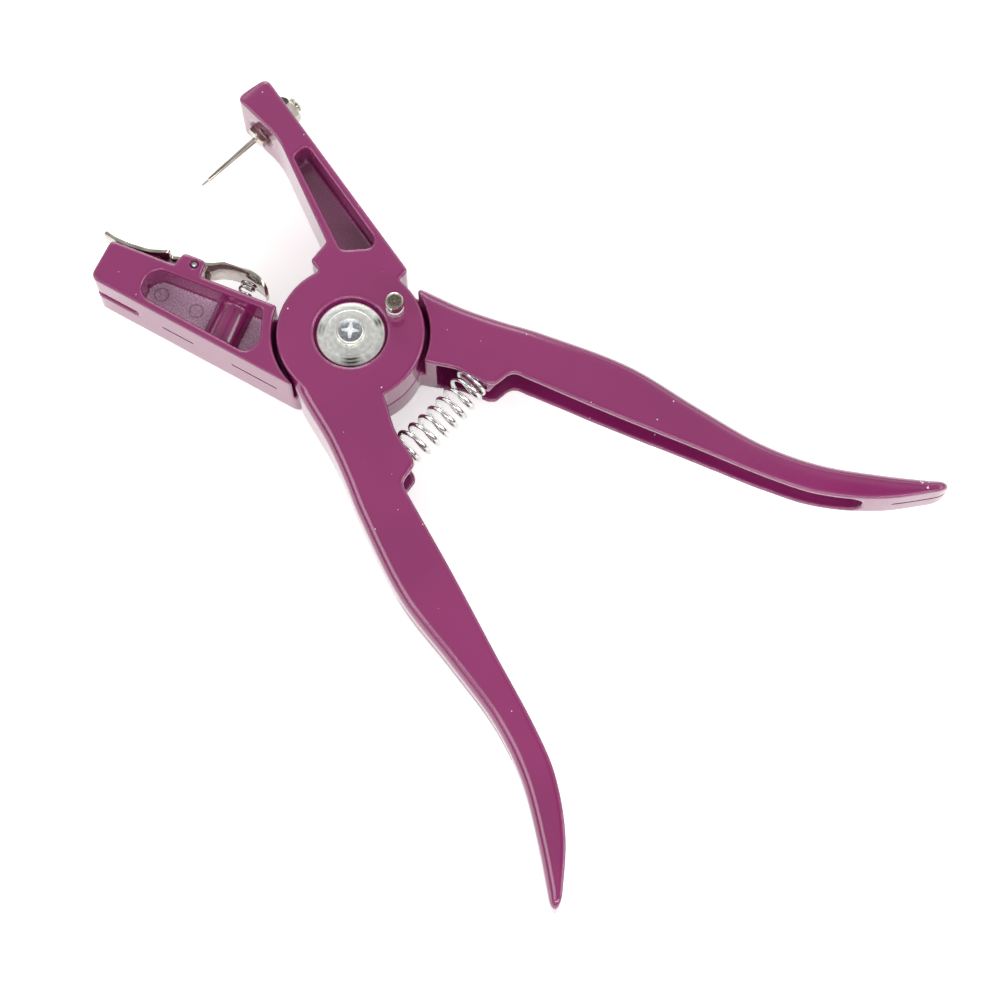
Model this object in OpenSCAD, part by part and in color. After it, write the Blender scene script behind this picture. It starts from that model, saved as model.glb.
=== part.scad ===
// Ear tag applicator: two crossed die-cast levers on one pivot. The front lever carries the
// pin that pierces the ear, the rear lever the seat and clip that hold the other half of the tag.
// Origin on the pivot axis at the underside; +Z up the pivot; +X between the two jaws.

/* [Levers] */
// Thickness of the hub and the jaws
lever_t = 21; // [19:0.5:26]
// Thickness of the rear lever's half of the hub
rear_hub_t = 10; // [9:0.5:11]
// Radius of the round hub
hub_r = 21.2; // [20.5:0.1:22.5]
// Gap between the hub and the other lever's shoulders
hub_gap = 1.4; // [0.8:0.1:2]
// Play between the two halves of the hub
hub_play = 0.1; // [0.05:0.05:0.3]
// Angle of the tag seat from the middle line
jaw_angle = 20.5; // [18:0.5:23]
// Closing angle at which the pin stands square to the seat
work_angle = 23; // [21:0.5:25]
// Wall left round the cast pockets
pocket_wall = 2.4; // [1.5:0.1:3]
// Web left in the middle of the pockets
web_t = 3; // [2:0.5:5]

/* [Handles] */
// Angle of each handle from the middle line
handle_angle = 27.7; // [26:0.1:31]
// Pivot to the handle's tip
handle_len = 174; // [150:1:200]
// Thickness of a handle at the spring
handle_t = 16; // [15:0.5:18]
// Thickness of a handle at its tip
tip_t = 12.5; // [11:0.5:14]
// Round along the handle's back
back_r = 3.5; // [2:0.5:5]
// Wall of the handle's channel above
flange_t = 2.5; // [2:0.1:3]
// Wall of the handle's channel below
lower_flange_t = 1.6; // [1.4:0.1:3]
// Wall of the channel along the handle's back
back_wall = 3.6; // [3:0.1:5]

/* [Clip jaw] */
// Pivot to the end of the clip jaw
jaw_len = 75; // [73:0.5:84]
// Depth of the jaw at its end
jaw_tip_d = 13; // [11:0.5:15]
// Height of the two lugs above the seat
lug_h = 4.3; // [4:0.1:5]
// Length of the slot that takes the tag's button
tag_slot_l = 14; // [11:0.5:16]
// Width of the slot that takes the tag's button
tag_slot_w = 10; // [8:0.5:12]
// Depth of the slot that takes the tag's button
tag_slot_d = 7.5; // [5:0.5:9]
// Width of the slit that lets the pin's point through
slit_w = 2.4; // [2.2:0.1:3]

/* [Pin] */
// Pivot to the pin's axis
pin_reach = 67.5; // [66:0.5:70]
// Distance from the pin's seat to the pivot's centre line
pin_drop = 27; // [25:0.5:29]
// Length of the needle from its hexagon
needle_l = 21.8; // [18:0.2:24]
// Radius of the needle where it leaves its hexagon
needle_r = 0.95; // [0.8:0.05:1.05]
// Radius of the pin's threaded shank
shank_r = 2.5; // [2:0.25:3]
// Width across the flats of the pin's own hexagon
front_af = 6; // [5.5:0.5:7]
// Width across the flats of the nut behind the arm
hex_af = 8; // [7:0.5:9]

/* [Pivot] */
// Radius of the pivot sleeve
sleeve_r = 6; // [5:0.5:7]
// Running play of the sleeve in the front lever
sleeve_play = 0.05; // [0.03:0.01:0.09]
// Radius of the pivot's washer and flange
washer_r = 9.9; // [9:0.1:10.2]
// Depth of the recesses that take the washer and the flange
recess_d = 2.7; // [2.4:0.1:3.5]
// Radius of the pivot screw's shank
screw_r = 2.5; // [2:0.25:3]
// Radius of the pivot screw's head
screw_head_r = 4.1; // [3.8:0.1:4.5]

/* [Springs] */
// Distance of the handle spring from the pivot
spring_x = 34; // [33:0.5:35]
// Outer radius of the handle spring
spring_r = 5.3; // [4.6:0.1:5.4]
// Wire radius of the handle spring
wire_r = 0.65; // [0.5:0.05:0.75]
// Turns of the handle spring
spring_turns = 10; // [8:1:11]
// Half the length of the handle spring as it sits
spring_half = 15.8; // [15.4:0.1:16.4]
// Wire radius of the clip's spring
clip_wire_r = 0.35; // [0.2:0.05:0.4]

/* [Clip] */
// Thickness of the clip's sheet
clip_t = 1.2; // [1:0.1:1.5]
// Width of the clip's neck and thumb piece
clip_w = 11; // [9:0.5:12]
// Width of the clip's fork over the seat
fork_w = 20; // [18:0.5:20.5]
// Width of the gap in the clip's fork
fork_gap = 8; // [6:0.5:9]
// Radius of the clip's hinge pin
hinge_r = 0.9; // [0.7:0.05:1.1]

/* [Hidden] */
$fn = 64;
eps = 0.01;
mid_z = lever_t/2;
clear_r = hub_r + hub_gap;
front_z = rear_hub_t + hub_play;
bearing_r = sleeve_r + sleeve_play;
recess_r = washer_r + 0.7;
paint = "#93406e";
zinc = "#d9d8d4";
nickel = "#c9c3b6";

// Places along the jaw, as a share of the way from its end back to the hub
function from_end(share) = jaw_len - share*(jaw_len - clear_r);
lug_from = from_end(0.542);
lug_to = from_end(0.38);
hinge_x = from_end(0.483);
hinge_y = -0.465*lug_h;
spring_boss_x = from_end(0.76);
spring_boss_r = 5.6;
pocket_end = from_end(0.271);
// Slope of the jaw's lower edge
jaw_slope = 0.1226;
ear_t = (lever_t - clip_w - 0.4)/2;
socket_r = 2.3;
socket_d = 9;
// Depth of the countersinks at the hinge pin's ends
peen_d = 0.5;
ejector_r = 2;
ejector_d = 0.3;

// Round a corner list [x, y, radius] off into a closed outline of arcs
function unit(v) = v/norm(v);
function corner(p, c, q) =
    let (a = unit([p.x - c.x, p.y - c.y]), b = unit([q.x - c.x, q.y - c.y]),
        half = acos(max(-1, min(1, a*b)))/2, r = c[2],
        reach = r/tan(half), mid = [c.x, c.y] + unit(a + b)*r/sin(half),
        from = [c.x, c.y] + a*reach - mid, to = [c.x, c.y] + b*reach - mid,
        a0 = atan2(from.y, from.x), turn = atan2(to.y, to.x) - a0,
        sweep = turn > 180 ? turn - 360 : turn < -180 ? turn + 360 : turn,
        steps = max(2, ceil(abs(sweep)/15)))
    [for (i = [0:steps]) mid + r*[cos(a0 + sweep*i/steps), sin(a0 + sweep*i/steps)]];
function rounded(pts) = let (n = len(pts)) [for (i = [0:n - 1])
    each pts[i][2] > 0 ? corner(pts[(i + n - 1)%n], pts[i], pts[(i + 1)%n])
        : [[pts[i].x, pts[i].y]]];

// Smooth curve through knots [place, value]
function knot_span(k, x, i = 0) = i >= len(k) - 2 || x < k[i + 1][0] ? i : knot_span(k, x, i + 1);
function knot_slope(k, i) = let (a = k[max(i - 1, 0)], b = k[min(i + 1, len(k) - 1)])
    (b[1] - a[1])/(b[0] - a[0]);
function smooth(k, x) =
    let (i = knot_span(k, x), w = k[i + 1][0] - k[i][0], u = (x - k[i][0])/w,
        m0 = knot_slope(k, i)*w, m1 = knot_slope(k, i + 1)*w)
    (2*u^3 - 3*u^2 + 1)*k[i][1] + (u^3 - 2*u^2 + u)*m0 + (3*u^2 - 2*u^3)*k[i + 1][1]
        + (u^3 - u^2)*m1;

// Handle outlines: place along the handle, then distance outward from its axis
grip_s = spring_x + 18;
function along(share) = grip_s + share*(handle_len - grip_s);
back_knots = [[4, hub_r - 0.3], [16, 18.9], [28, 16.6], [40, 15.5], [grip_s, 15], [along(0.22), 11.8],
    [along(0.4), 4.8], [along(0.56), -1], [along(0.7), -2.8], [along(0.85), -1.2], [along(1), 1.7]];
inner_knots = [[4, -3], [24, -2.9], [spring_x - 2, -2.6], [spring_x + 4, -3.8], [spring_x + 8, -4.6],
    [spring_x + 10.2, -3.9], [spring_x + 12.2, -0.9], [spring_x + 14.2, 0.5], [grip_s, 0],
    [along(0.2), -4], [along(0.42), -7.8], [along(0.6), -11], [along(0.72), -11.8],
    [along(0.86), -8.7], [along(1), -1.4]];
// Half thickness of the handle, whose top is flat and level with the hub
function taper(share) = tip_t/2 + share*(handle_t - tip_t)/2;
half_knots = [[4, lever_t/2], [24, lever_t/2], [44, handle_t/2], [along(0.3), taper(0.5)],
    [along(0.5), taper(0.37)], [along(0.8), taper(0.1)], [along(1), tip_t/2]];
function half_at(s) = min(lever_t/2, smooth(half_knots, s));
function middle_at(s) = lever_t - half_at(s);
handle_places = concat([for (s = [4:4:36]) s], [for (s = [39:1.5:grip_s - 2]) s],
    [for (i = [0:17]) along(i/18)]);
tip_round = 3;
// Where the rear handle ends beside the front half of the hub
free_end_s = 15;
function tip_share(s, end, round) = s < end - round ? 1 : sqrt(max(0, 1 - ((s - end + round)/round)^2));

// One closed body through rings of equal point counts
module loft(rings) {
    n = len(rings[0]);
    m = len(rings);
    polyhedron([for (r = rings) each r], concat([[for (i = [0:n - 1]) i]],
        [for (j = [0:m - 2]) for (i = [0:n - 1]) let (a = j*n + i, b = j*n + (i + 1)%n)
            each [[a, a + n, b + n], [a, b + n, b]]],
        [[for (i = [n - 1:-1:0]) (m - 1)*n + i]]));
}

// Section of the handle at one place: square inner edge and rounded back
function handle_ring(s, width = 1) =
    let (back = smooth(back_knots, s), inner = smooth(inner_knots, s), c = (back + inner)/2,
        w = (back - inner)/2*width, h = half_at(s) - (1 - width)*back_r, r = min(back_r, 1.6*w))
    [for (p = concat([[-w, -h]], [for (a = [-90:22.5:0]) [w - r + r*cos(a), -h + r + r*sin(a)]],
        [for (a = [0:22.5:90]) [w - r + r*cos(a), h - r + r*sin(a)]], [[-w, h]]))
        [s, c + p.x, middle_at(s) + p.y]];

module handle_body() {
    ends = [for (a = [0:22.5:67.5]) handle_len - tip_round + tip_round*sin(a)];
    loft(concat([for (s = handle_places) if (s < handle_len - tip_round - 1) handle_ring(s)],
        [for (s = ends) handle_ring(s, tip_share(s, handle_len, tip_round))]));
}

// Channel let into the handle from its inner side, round at both ends
module handle_channel() {
    first = 26;
    last = along(0.82);
    places = concat([first, first + 0.5], [for (s = handle_places) if (s > first + 1 && s < last - 5) s],
        [for (a = [0:22.5:67.5]) last - 4 + 4*sin(a)]);
    loft([for (s = places)
        let (open = max(tip_share(s, last, 4), 0.3), lead = max(0, first + 0.5 - s),
            top = middle_at(s) + (half_at(s) - flange_t)*open - lead,
            low = middle_at(s) - (half_at(s) - lower_flange_t)*open + lead,
            back = max(smooth(back_knots, s) - back_wall, smooth(inner_knots, s) + 0.6),
            mouth = smooth(inner_knots, s) - 6)
        [[s, mouth, low], [s, back, low], [s, back, top], [s, mouth, top]]]);
}

// Handle in the part's frame: side is +1 for the front lever's, -1 for the rear lever's.
// A round boss inside its channel takes one end of the handle spring, on a short stub.
seat_stub = 2.5;
spring_z = lever_t - handle_t/2;
module handle(side) {
    difference() {
        place_handle(side) handle_body();
        place_handle(side) handle_channel();
    }
    intersection() {
        place_handle(side) handle_body();
        spring_end(side) cylinder(r = spring_r + 0.4, h = 20);
    }
    spring_end(side) translate([0, 0, -seat_stub])
        cylinder(r = spring_r - 2*wire_r - 0.4, h = seat_stub + 4);
}
module spring_end(side) translate([-spring_x, side*spring_half, spring_z]) rotate([-side*90, 0, 0])
    children();
module place_handle(side) {
    if (side > 0) rotate([0, 0, 180 - handle_angle]) mirror([0, 1, 0]) children();
    else rotate([0, 0, 180 + handle_angle]) children();
}

// Jaw frame: x along the seat away from the pivot, y from the seat down into the jaw
module in_jaw() rotate([0, 0, jaw_angle]) children();
module across(x, y, from, to, r) translate([x, y, from]) cylinder(r = r, h = to - from);

jaw_outline = rounded([[jaw_len, 0, 1.2], [jaw_len + 0.7, jaw_tip_d, 1.5],
    [8, jaw_tip_d + (jaw_len - 7)*jaw_slope, 3], [0, 10, 0], [0, 0.6, 0], [lug_from, 0.6, 0],
    [lug_from + 0.3, -lug_h, 1.4], [lug_to - 1, -lug_h, 1.6], [lug_to, 0, 0]]);
pocket_outline = rounded([[clear_r + 3.4, 3, 1.4], [pocket_end, 3, 4.6],
    [pocket_end, jaw_tip_d + (jaw_len - pocket_end)*jaw_slope - pocket_wall, 4],
    [clear_r + 2.2, jaw_tip_d + (jaw_len - clear_r)*jaw_slope - pocket_wall, 2],
    [clear_r - 0.4, 12.4, 3]]);

module rear_lever() color(paint) difference() {
    union() {
        cylinder(r = hub_r, h = rear_hub_t);
        in_jaw() difference() {
            linear_extrude(lever_t) polygon(jaw_outline);
            for (z = [-eps, mid_z + web_t/2]) translate([0, 0, z])
                linear_extrude((lever_t - web_t)/2 + eps) polygon(pocket_outline);
        }
        in_jaw() translate([spring_boss_x, 2, mid_z]) rotate([-90, 0, 0])
            cylinder(r = spring_boss_r, h = socket_d + 4);
        handle(-1);
    }
    // Room for the front lever's half of the hub, and the free end of the handle's back
    translate([0, 0, rear_hub_t]) linear_extrude(lever_t) {
        circle(r = clear_r);
        rotate(180 + handle_angle) square([free_end_s, hub_r + 10]);
    }
    // Bore and recess for the pivot sleeve
    translate([0, 0, -eps]) cylinder(r = recess_r, h = recess_d + eps);
    cylinder(r = sleeve_r, h = lever_t);
    in_jaw() {
        // Groove between the lugs for the clip
        translate([lug_from - 1, -lug_h - 1, ear_t]) cube([lug_to - lug_from + 2, lug_h + 2, lever_t - 2*ear_t]);
        across(hinge_x, hinge_y, -1, lever_t + 1, hinge_r);
        across(hinge_x, hinge_y, -1, peen_d, hinge_r + 0.4);
        across(hinge_x, hinge_y, lever_t - peen_d, lever_t + 1, hinge_r + 0.4);
        // Slot for the tag's button, and the slit under it
        translate([jaw_len - tag_slot_l, -1, mid_z - tag_slot_w/2])
            cube([tag_slot_l + 5, tag_slot_d + 1, tag_slot_w]);
        translate([jaw_len - tag_slot_l, -1, mid_z - slit_w/2]) cube([tag_slot_l + 5, jaw_len, slit_w]);
        // Round marks of the ejector pins in the pocket's floor
        for (p = [[from_end(0.345), 7.2], [from_end(0.563), 8]])
            across(p.x, p.y, mid_z + web_t/2 - ejector_d, mid_z + web_t/2 + eps, ejector_r);
        // Socket for the clip's spring
        translate([spring_boss_x, -1, mid_z]) rotate([-90, 0, 0]) cylinder(r = socket_r, h = socket_d + 1);
    }
}

// Arm frame: the pin's axis is parallel to y, and the arm's tip face lies on y = -pin_drop
pin_turn = jaw_angle - work_angle;
module in_arm() rotate([0, 0, pin_turn]) children();
arm_end = pin_reach + 10.6;
arm_tip_d = 10.8;
arm_slope = 0.176;
shoulder_x = clear_r + 2.6;
shoulder_y = -14.3;
// Flat tip face that the pin seats on
arm_seat_x = arm_end - 18.8;
function arm_outer(x) = -pin_drop - arm_tip_d + (arm_end - 2.5 - x)*arm_slope;
function arm_inner(x) = shoulder_y + (x - shoulder_x)*(-pin_drop - shoulder_y)/(arm_seat_x - shoulder_x);
arm_outline = rounded([[arm_end, -pin_drop, 2.5], [arm_end - 2.5, -pin_drop - arm_tip_d, 2.4],
    [2.1, arm_outer(2.1), 1.5], [2, -20, 0], [19, -6.4, 0], [shoulder_x - 1, -7.1, 0.8],
    [shoulder_x, shoulder_y, 0], [arm_seat_x, -pin_drop, 25]]);
arm_pocket_end = arm_end - 26.6;
arm_pocket = rounded([[arm_pocket_end, arm_inner(arm_pocket_end) - pocket_wall + 0.3, 1.2],
    [arm_pocket_end, arm_outer(arm_pocket_end) + pocket_wall, 1.4],
    [12.8, arm_outer(12.8) + pocket_wall, 2.6], [20.5, -15.6, 1.6]]);

module front_lever() color(paint) difference() {
    union() {
        translate([0, 0, front_z]) cylinder(r = hub_r, h = lever_t - front_z);
        in_arm() difference() {
            linear_extrude(lever_t) polygon(arm_outline);
            for (z = [-eps, mid_z + web_t/2]) translate([0, 0, z])
                linear_extrude((lever_t - web_t)/2 + eps) polygon(arm_pocket);
        }
        handle(1);
    }
    // Room for the rear lever's half of the hub
    translate([0, 0, -1]) cylinder(r = clear_r, h = front_z + 1);
    // Bearing bore and washer recess
    cylinder(r = bearing_r, h = lever_t + 1);
    translate([0, 0, lever_t - recess_d]) cylinder(r = recess_r, h = recess_d + 1);
    // Hole, counterbore and spot face for the pin
    in_arm() translate([pin_reach, -pin_drop, mid_z]) rotate([90, 0, 0]) {
        cylinder(r = shank_r + 0.1, h = 30);
        translate([0, 0, -5]) cylinder(r = front_af*0.73, h = 5 + counterbore_d);
        translate([0, 0, pin_seat_t]) cylinder(r = hex_af*0.66, h = 12);
    }
    translate([stud_x, stud_y, lever_t - stud_hole_d]) cylinder(r = stud_thread_r, h = stud_hole_d + 1);
}
counterbore_d = 1.2;
nut_seat_d = 1.8;
// Arm thickness between the tip face and the rear nut
pin_seat_t = arm_tip_d - nut_seat_d;

// Pivot: flanged sleeve from below, washer and screw from above
washer_t = 1.5;
sleeve_top = lever_t - recess_d + 0.05;
module pivot_sleeve() color(zinc) difference() {
    union() {
        cylinder(r = washer_r, h = recess_d);
        cylinder(r = sleeve_r, h = sleeve_top);
    }
    translate([0, 0, 5]) cylinder(r = screw_r, h = lever_t);
}
module pivot_washer() color(zinc) translate([0, 0, sleeve_top]) rotate_extrude()
    polygon([[screw_r + 0.15, 0], [washer_r, 0], [washer_r, washer_t - 0.6], [washer_r - 0.25, washer_t - 0.4],
        [washer_r*0.73, washer_t], [screw_r + 0.15, washer_t]]);
screw_head_h = 2.4;
screw_l = 11;
cross_w = 1.1;
cross_l = 4.8;
cross_d = 1.6;
module pivot_screw() color(zinc) translate([0, 0, sleeve_top + washer_t]) difference() {
    union() {
        rotate_extrude() polygon([[0, 0], [screw_head_r, 0], [screw_head_r, 1.2],
            [screw_head_r - 0.5, 2], [screw_head_r - 1.4, screw_head_h], [0, screw_head_h]]);
        translate([0, 0, -screw_l]) cylinder(r = screw_r, h = screw_l + eps);
    }
    for (a = [0, 90]) rotate([0, 0, a]) translate([-cross_l/2, -cross_w/2, screw_head_h - cross_d])
        cube([cross_l, cross_w, 2*cross_d]);
}

// Applicator pin: needle, hexagon and threaded shank in one piece, held by a nut behind the arm
hex_t = 3.4;
nut_t = 3.4;
shank_over = 2;
driver_slot = 1;
shank_end = counterbore_d - pin_seat_t - nut_t - shank_over;
module along_pin(from) in_arm() translate([pin_reach, -pin_drop + from, mid_z]) rotate([-90, 0, 0]) children();
module hexagon(af, h) rotate([0, 0, 30]) cylinder(r = af/sqrt(3), h = h, $fn = 6);
module applicator_pin() color(zinc) along_pin(-counterbore_d) difference() {
    union() {
        hexagon(front_af, hex_t);
        rotate_extrude() polygon([[0, shank_end], [shank_r, shank_end], [shank_r, 0], [2, 0], [2, hex_t],
            [needle_r, hex_t + 1], [0.62, hex_t + needle_l - 3], [0.4, hex_t + needle_l - 2.6],
            [0.3, hex_t + needle_l - 0.5], [0, hex_t + needle_l]]);
    }
    // Screwdriver slot in the threaded end
    translate([-driver_slot/2, -4, shank_end - driver_slot]) cube([driver_slot, 8, 2*driver_slot]);
}
module pin_nut() color(zinc) along_pin(-pin_seat_t - nut_t) difference() {
    hexagon(hex_af, nut_t);
    translate([0, 0, -1]) cylinder(r = shank_r, h = nut_t + 2);
}

// Grooved stud screwed into the hub beside the washer
stud_x = -4.8;
stud_y = -13.4;
stud_r = 2.6;
stud_h = 7.3;
stud_thread_r = 1.9;
stud_hole_d = 7;
module hub_stud() color(zinc) translate([stud_x, stud_y, lever_t]) rotate_extrude()
    polygon([[0, 0.5 - stud_hole_d], [stud_thread_r, 0.5 - stud_hole_d], [stud_thread_r, 0], [stud_r, 0],
        [stud_r, 3], [stud_r - 0.8, 3], [stud_r - 0.8, 4.2], [stud_r, 4.2], [stud_r, stud_h - 0.4],
        [stud_r - 0.4, stud_h], [1.85, stud_h], [1.85, stud_h - 0.4], [0, stud_h - 0.4]]);

// Round wire wound into a coil along +Z, with ends of closed turns
module coil(r, wire, height, turns, sides, per_turn) {
    steps = turns*per_turn;
    dead = 1.2;
    close = 2*wire/height;
    function rise(t) = let (a = t*turns) wire + (height - 2*wire)*(a < dead ? a*close*0.9
        : a > turns - dead ? 1 - (turns - a)*close*0.9
        : dead*close*0.9 + (a - dead)/(turns - 2*dead)*(1 - 2*dead*close*0.9));
    loft([for (i = [0:steps]) let (a = 360*i/per_turn, z = rise(i/steps))
        [for (j = [0:sides - 1]) let (b = -360*j/sides)
            [(r + wire*cos(b))*cos(a), (r + wire*cos(b))*sin(a), z + wire*sin(b)]]]);
}
module handle_spring() color(zinc) translate([-spring_x, -spring_half, spring_z]) rotate([-90, 0, 0])
    coil(spring_r - wire_r, wire_r, 2*spring_half, spring_turns, 6, 20);

// Clip: one bent strip, wide and forked over the seat, with two ears on the hinge pin. Its bends are
// given by the place along the jaw and the gap under the sheet as a share of the lugs' height.
clip_bends = [[-0.05, 0.21], [0.019, 0.035], [0.1145, 0.005], [0.229, 0.16], [0.3245, 0.58], [0.391, 0.86],
    [0.483, 0.93], [0.54, 1.16], [0.597, 1.535], [0.674, 1.7], [0.75, 1.675], [0.819, 1.49],
    [0.868, 1.16], [0.887, 0.84]];
clip_mid = [for (b = clip_bends) [from_end(b.x), -clip_t/2 - b.y*lug_h]];
// Bend over the hinge pin, and the radius of the ears round it
neck = 6;
ear_r = 0.51*lug_h;
function strip_normal(i) = let (a = clip_mid[max(i - 1, 0)], b = clip_mid[min(i + 1, len(clip_mid) - 1)],
    d = unit(b - a)) [-d.y, d.x];
module clip_strip(from, to) polygon(concat(
    [for (i = [from:to]) clip_mid[i] + strip_normal(i)*clip_t/2],
    [for (i = [to:-1:from]) clip_mid[i] - strip_normal(i)*clip_t/2]));
module clip() color(nickel) in_jaw() difference() {
    union() {
        difference() {
            translate([0, 0, mid_z - fork_w/2]) linear_extrude(fork_w) clip_strip(0, 4);
            translate([jaw_len - tag_slot_l, -2*lug_h, mid_z - fork_gap/2])
                cube([2*tag_slot_l, 2*lug_h, fork_gap]);
        }
        translate([0, 0, mid_z - clip_w/2]) linear_extrude(clip_w) clip_strip(4, len(clip_mid) - 1);
        for (z = [mid_z - clip_w/2, mid_z + clip_w/2 - clip_t]) translate([0, 0, z]) linear_extrude(clip_t)
            polygon([for (a = [-20:20:200]) [hinge_x + ear_r*cos(a), hinge_y + ear_r*sin(a)],
                [hinge_x - 1.1*ear_r, clip_mid[neck].y], [hinge_x + 1.36*ear_r, clip_mid[neck].y]]);
    }
    across(hinge_x, hinge_y, -1, lever_t + 1, hinge_r + 0.05);
}
module clip_hinge_pin() color(zinc) in_jaw() across(hinge_x, hinge_y, 0.3, lever_t - 0.3, hinge_r);

clip_spring_r = socket_r - 0.2;
clip_spring_top = 5.8;
module clip_spring() color(zinc) in_jaw() translate([spring_boss_x, socket_d, mid_z]) rotate([90, 0, 0])
    coil(clip_spring_r - clip_wire_r, clip_wire_r, socket_d + clip_spring_top, 9, 5, 12);

rear_lever();
front_lever();
pivot_sleeve();
pivot_washer();
pivot_screw();
applicator_pin();
pin_nut();
hub_stud();
handle_spring();
clip();
clip_hinge_pin();
clip_spring();
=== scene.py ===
"""Ear tag applicator: two enamelled die-cast levers on one pivot, a piercing pin, a sprung clip and a coil spring."""

import math

import bmesh
import bpy
from mathutils import Matrix, Vector


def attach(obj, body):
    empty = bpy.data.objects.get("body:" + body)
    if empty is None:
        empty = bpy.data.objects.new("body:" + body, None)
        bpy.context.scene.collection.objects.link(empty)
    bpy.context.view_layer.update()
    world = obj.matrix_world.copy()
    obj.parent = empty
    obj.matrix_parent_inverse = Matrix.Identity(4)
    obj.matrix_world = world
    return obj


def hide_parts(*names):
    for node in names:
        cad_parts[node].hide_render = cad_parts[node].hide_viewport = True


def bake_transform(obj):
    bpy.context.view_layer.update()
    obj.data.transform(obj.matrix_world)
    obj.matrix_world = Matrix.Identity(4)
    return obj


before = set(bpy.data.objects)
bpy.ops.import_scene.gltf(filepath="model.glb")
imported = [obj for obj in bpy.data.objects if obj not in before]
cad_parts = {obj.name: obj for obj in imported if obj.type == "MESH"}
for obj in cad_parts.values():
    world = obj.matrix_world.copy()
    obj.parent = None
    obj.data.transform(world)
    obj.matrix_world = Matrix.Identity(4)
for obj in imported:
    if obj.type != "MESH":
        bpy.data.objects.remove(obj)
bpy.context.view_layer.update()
MM = 0.001

# The camera looks down at the tool as it lies flat, from a little behind the handles' ends. The aim is the
# point of the hub's height that fills the middle of the frame.
VIEW_DISTANCE = 0.7668
VIEW_RISE = math.radians(71.5)
VIEW_HEADING = math.radians(137.0)
aim = Vector((-0.0620, 0.0042, 0.0058))
away = Vector((math.sin(VIEW_HEADING), math.cos(VIEW_HEADING), 0.0))
forward = away * math.cos(VIEW_RISE) - Vector((0, 0, math.sin(VIEW_RISE)))
camera_data = bpy.data.cameras.new("camera")
camera_data.lens = 97.2
camera_data.sensor_width = 36.0
camera_data.clip_start = 0.05
camera = bpy.data.objects.new("camera", camera_data)
camera.location = aim - forward * VIEW_DISTANCE
camera.rotation_euler = forward.to_track_quat("-Z", "Y").to_euler()
bpy.context.scene.collection.objects.link(camera)
bpy.context.scene.camera = camera


# Rear lever: one aluminium die casting, baked with purple enamel. It has the lower half of the hub, a handle of
# channel section, and the jaw with the tag's seat, pocketed on both faces to a web in the middle.
def hex_colour(code):
    """Linear RGBA of an sRGB hex colour."""
    shares = [int(code[i:i + 2], 16) / 255 for i in (0, 2, 4)]
    return [s / 12.92 if s <= 0.04045 else ((s + 0.055) / 1.055) ** 2.4 for s in shares] + [1.0]


def add_node(material, kind, links=None, **settings):
    """A shader node with its settings, fed by links of input name to output socket or value."""
    node = material.node_tree.nodes.new("ShaderNode" + kind)
    for key, value in settings.items():
        setattr(node, key, value)
    for name, source in (links or {}).items():
        if isinstance(source, bpy.types.NodeSocket):
            material.node_tree.links.new(source, node.inputs[name])
        else:
            node.inputs[name].default_value = source
    return node


def new_material(name):
    """An empty node material and its output node."""
    material = bpy.data.materials.new(name)
    material.use_nodes = True
    material.node_tree.nodes.clear()
    return material, add_node(material, "OutputMaterial")


def ramp(material, source, stops):
    """A colour ramp node fed by a value, with stops of place and colour."""
    node = add_node(material, "ValToRGB", {"Fac": source})
    elements = node.color_ramp.elements
    while len(elements) < len(stops):
        elements.new(0.5)
    for element, (place, colour) in zip(elements, stops):
        element.position = place
        element.color = colour
    return node


def grey(level):
    """Linear RGBA of a plain grey."""
    return [level, level, level, 1.0]


# Baked polyester enamel over cast aluminium. The coat is glossy and takes the room's light on its edges; fine
# orange peel shows as a soft waver in it, with dust specks in the paint, a broken line of flash where the two
# halves of the die met, coloured dark as painted shade of its groove, chips at one handle's tip, and rough,
# thinly painted floors in the pockets, where the jaw's shows the rings of two ejector pins. All sizes here and
# below are in millimetres.
JAW_ANGLE = math.radians(20.5)
HANDLE_ANGLE = math.radians(27.7)
EJECTORS = ((56.9, 7.2), (45.5, 8.0))
EJECTOR_R = 2.0
CHIPS = Vector((-149.0, -76.5, 21.0)) * MM
TONE_SIZE = 28.0
GRIT_SIZE = 0.5
SPECK_SPACING = 9.0
CHIP_SIZE = 0.9
PEEL_SIZE = 1.6
EDGE_R = 0.9
FLASH_SIZE = 26.0
FLASH_HALF = 0.42
FLASH_SPAN = 80.0
HANDLES_FROM = -20.0
enamel, enamel_out = new_material("baked purple enamel")
place = add_node(enamel, "TexCoord").outputs["Object"]
depth_noise = add_node(enamel, "TexNoise", {"Vector": place, "Scale": 1 / (TONE_SIZE * MM), "Detail": 2.0})
tone = ramp(enamel, depth_noise.outputs["Fac"], [(0.35, hex_colour("84215d")), (0.65, hex_colour("8b2563"))])
grit = add_node(enamel, "TexNoise", {"Vector": place, "Scale": 1 / (GRIT_SIZE * MM), "Detail": 3.0})
rough_cast = add_node(enamel, "Attribute", attribute_name="rough_cast").outputs["Fac"]
raw_tone = ramp(enamel, grit.outputs["Fac"], [(0.3, hex_colour("b386aa")), (0.7, hex_colour("eccce0"))])
in_jaw = add_node(enamel, "Mapping", {"Vector": place, "Rotation": (0.0, 0.0, -JAW_ANGLE), "Scale": (1.0, 1.0, 0.0)})
from_rings = [add_node(enamel, "VectorMath", {0: in_jaw.outputs[0], 1: (x * MM, y * MM, 0.0)},
                       operation="DISTANCE").outputs["Value"] for x, y in EJECTORS]
from_ring = add_node(enamel, "Math", {0: from_rings[0], 1: from_rings[1]}, operation="MINIMUM")
ring_edge = add_node(enamel, "Math", {0: from_ring.outputs[0], 1: EJECTOR_R * MM}, operation="SUBTRACT")
ring_gap = add_node(enamel, "Math", {0: ring_edge.outputs[0]}, operation="ABSOLUTE")
ring_line = add_node(enamel, "MapRange", {"Value": ring_gap.outputs[0], "From Min": 0.05 * MM, "From Max": 0.3 * MM,
                                          "To Min": 0.55, "To Max": 0.0})
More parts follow.
